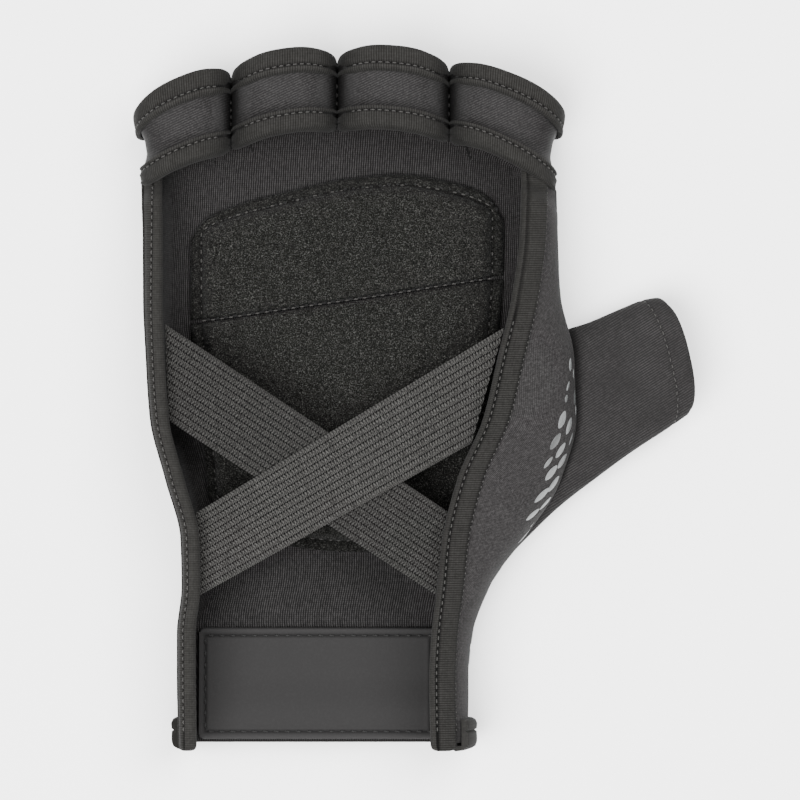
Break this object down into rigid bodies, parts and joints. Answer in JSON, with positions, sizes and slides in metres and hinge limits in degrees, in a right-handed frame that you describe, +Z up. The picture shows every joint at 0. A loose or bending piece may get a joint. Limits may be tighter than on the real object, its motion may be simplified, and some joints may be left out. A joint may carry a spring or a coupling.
{
  "type": "weightlifting glove",
  "caption": "Fingerless open-back weightlifting glove for the left hand with crossed elastic straps, padded palm and thumb sleeve, lying palm down.",
  "frame": {"origin": "middle of the palm on its flat sole, where the glove rests", "axes": "+X to the thumb, +Y to the fingers, +Z up from the palm to the open back"},
  "size_m": [0.121, 0.1515, 0.0253],
  "materials": {
    "shell": "matt stretch knit",
    "lining": "fine ribbed knit",
    "terry": "looped terry",
    "loop": "satin weave",
    "trim": "ribbed elastic binding",
    "binding": "ribbed elastic binding",
    "elastic": "ribbed webbing",
    "tab": "matt coated",
    "thread": "sewing thread",
    "print": "raised silver grey grip print"
  },
  "bodies": {
    "root": {"hand_shell": "shell", "palm_lining": "lining", "thumb_sleeve": "shell", "ulnar_binding": "binding", "radial_binding": "binding", "wrist_hem": "binding", "palm_pad_upper": "terry", "palm_pad_lower": "terry", "wrist_tab": "tab", "finger_loop_little": "loop", "near_trim_little": "trim", "far_trim_little": "trim", "finger_loop_ring": "loop", "near_trim_ring": "trim", "far_trim_ring": "trim", "finger_loop_middle": "loop", "near_trim_middle": "trim", "far_trim_middle": "trim", "finger_loop_index": "loop", "near_trim_index": "trim", "far_trim_index": "trim", "strap_under": "elastic", "strap_over": "elastic"}
  },
  "joints": []
}
